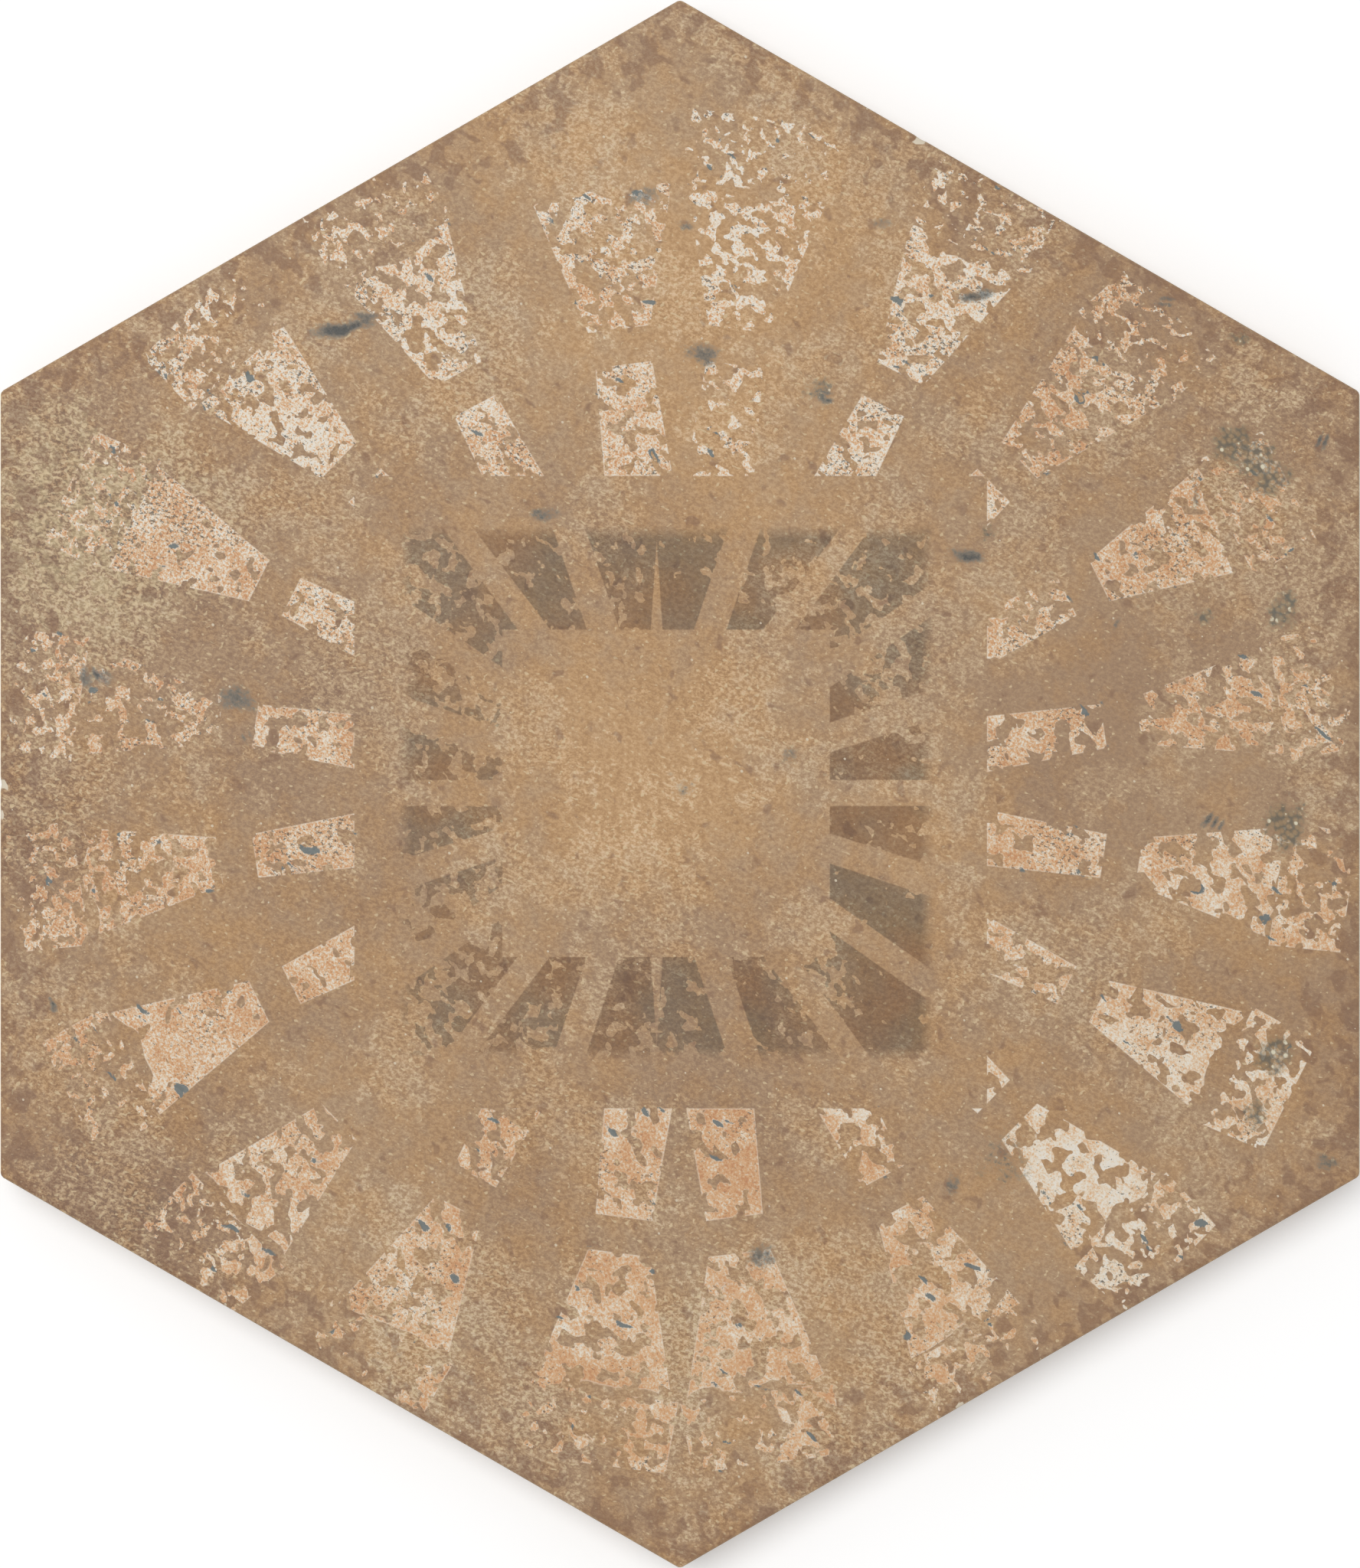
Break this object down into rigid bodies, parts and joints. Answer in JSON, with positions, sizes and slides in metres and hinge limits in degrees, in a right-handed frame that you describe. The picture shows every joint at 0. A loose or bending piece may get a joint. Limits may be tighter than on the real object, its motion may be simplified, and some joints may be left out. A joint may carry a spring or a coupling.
{
  "type": "hexagon floor tile",
  "caption": "Hexagonal porcelain floor tile with a worn ring-of-rays print on a mottled brown face, drawn-in sides and a honeycomb-keyed back.",
  "frame": {"origin": "middle of the back, on the plane that the tile lies on", "axes": "+Z out of the printed face, +Y towards one corner, +X out of one side"},
  "size_m": [0.175, 0.2016, 0.009],
  "materials": {
    "porcelain": "matt glaze with a worn print"
  },
  "bodies": {
    "root": {"hexagon_tile": "porcelain"}
  },
  "joints": []
}
